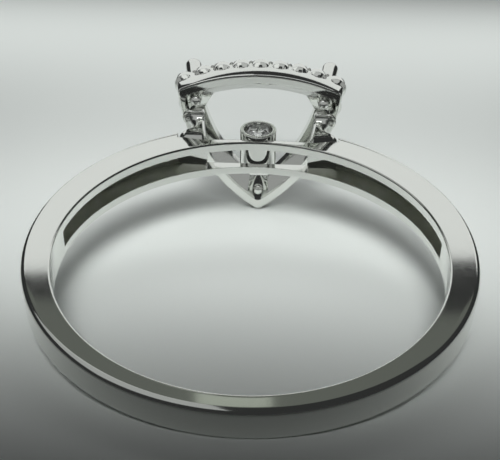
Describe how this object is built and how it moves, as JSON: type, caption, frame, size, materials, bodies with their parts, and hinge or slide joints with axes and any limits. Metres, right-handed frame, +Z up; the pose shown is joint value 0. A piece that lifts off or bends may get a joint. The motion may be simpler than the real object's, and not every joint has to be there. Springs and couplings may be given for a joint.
{
  "type": "ring",
  "caption": "Polished white metal halo ring lying on its side, with an open trillion seat, upright prongs and small diamonds set in the halo, shoulders and gallery.",
  "frame": {"origin": "centre of the bounding box in plan, at the surface that the ring lies on", "axes": "+Z up, +X to the right as in the picture, +Y from the shank's back toward the head; the finger's axis leans about 12 degrees from +Z"},
  "size_m": [0.019, 0.0242, 0.0086],
  "materials": {
    "white_gold": "mirror-polished, rhodium bright",
    "diamond": "faceted, clear"
  },
  "bodies": {
    "root": {"ring_mount": "white_gold", "halo_stone_01": "diamond", "halo_stone_02": "diamond", "halo_stone_03": "diamond", "halo_stone_04": "diamond", "halo_stone_05": "diamond", "halo_stone_06": "diamond", "halo_stone_07": "diamond", "halo_stone_08": "diamond", "halo_stone_09": "diamond", "halo_stone_10": "diamond", "halo_stone_11": "diamond", "halo_stone_12": "diamond", "halo_stone_13": "diamond", "halo_stone_14": "diamond", "halo_stone_15": "diamond", "halo_stone_16": "diamond", "halo_stone_17": "diamond", "halo_stone_18": "diamond", "halo_stone_19": "diamond", "halo_stone_20": "diamond", "halo_stone_21": "diamond", "left_shoulder_stone_01": "diamond", "left_shoulder_stone_02": "diamond", "left_shoulder_stone_03": "diamond", "left_shoulder_stone_04": "diamond", "left_shoulder_stone_05": "diamond", "left_shoulder_stone_06": "diamond", "left_shoulder_stone_07": "diamond", "left_shoulder_stone_08": "diamond", "right_shoulder_stone_01": "diamond", "right_shoulder_stone_02": "diamond", "right_shoulder_stone_03": "diamond", "right_shoulder_stone_04": "diamond", "right_shoulder_stone_05": "diamond", "right_shoulder_stone_06": "diamond", "right_shoulder_stone_07": "diamond", "right_shoulder_stone_08": "diamond", "upper_gallery_stone": "diamond", "lower_gallery_stone": "diamond"}
  },
  "joints": []
}
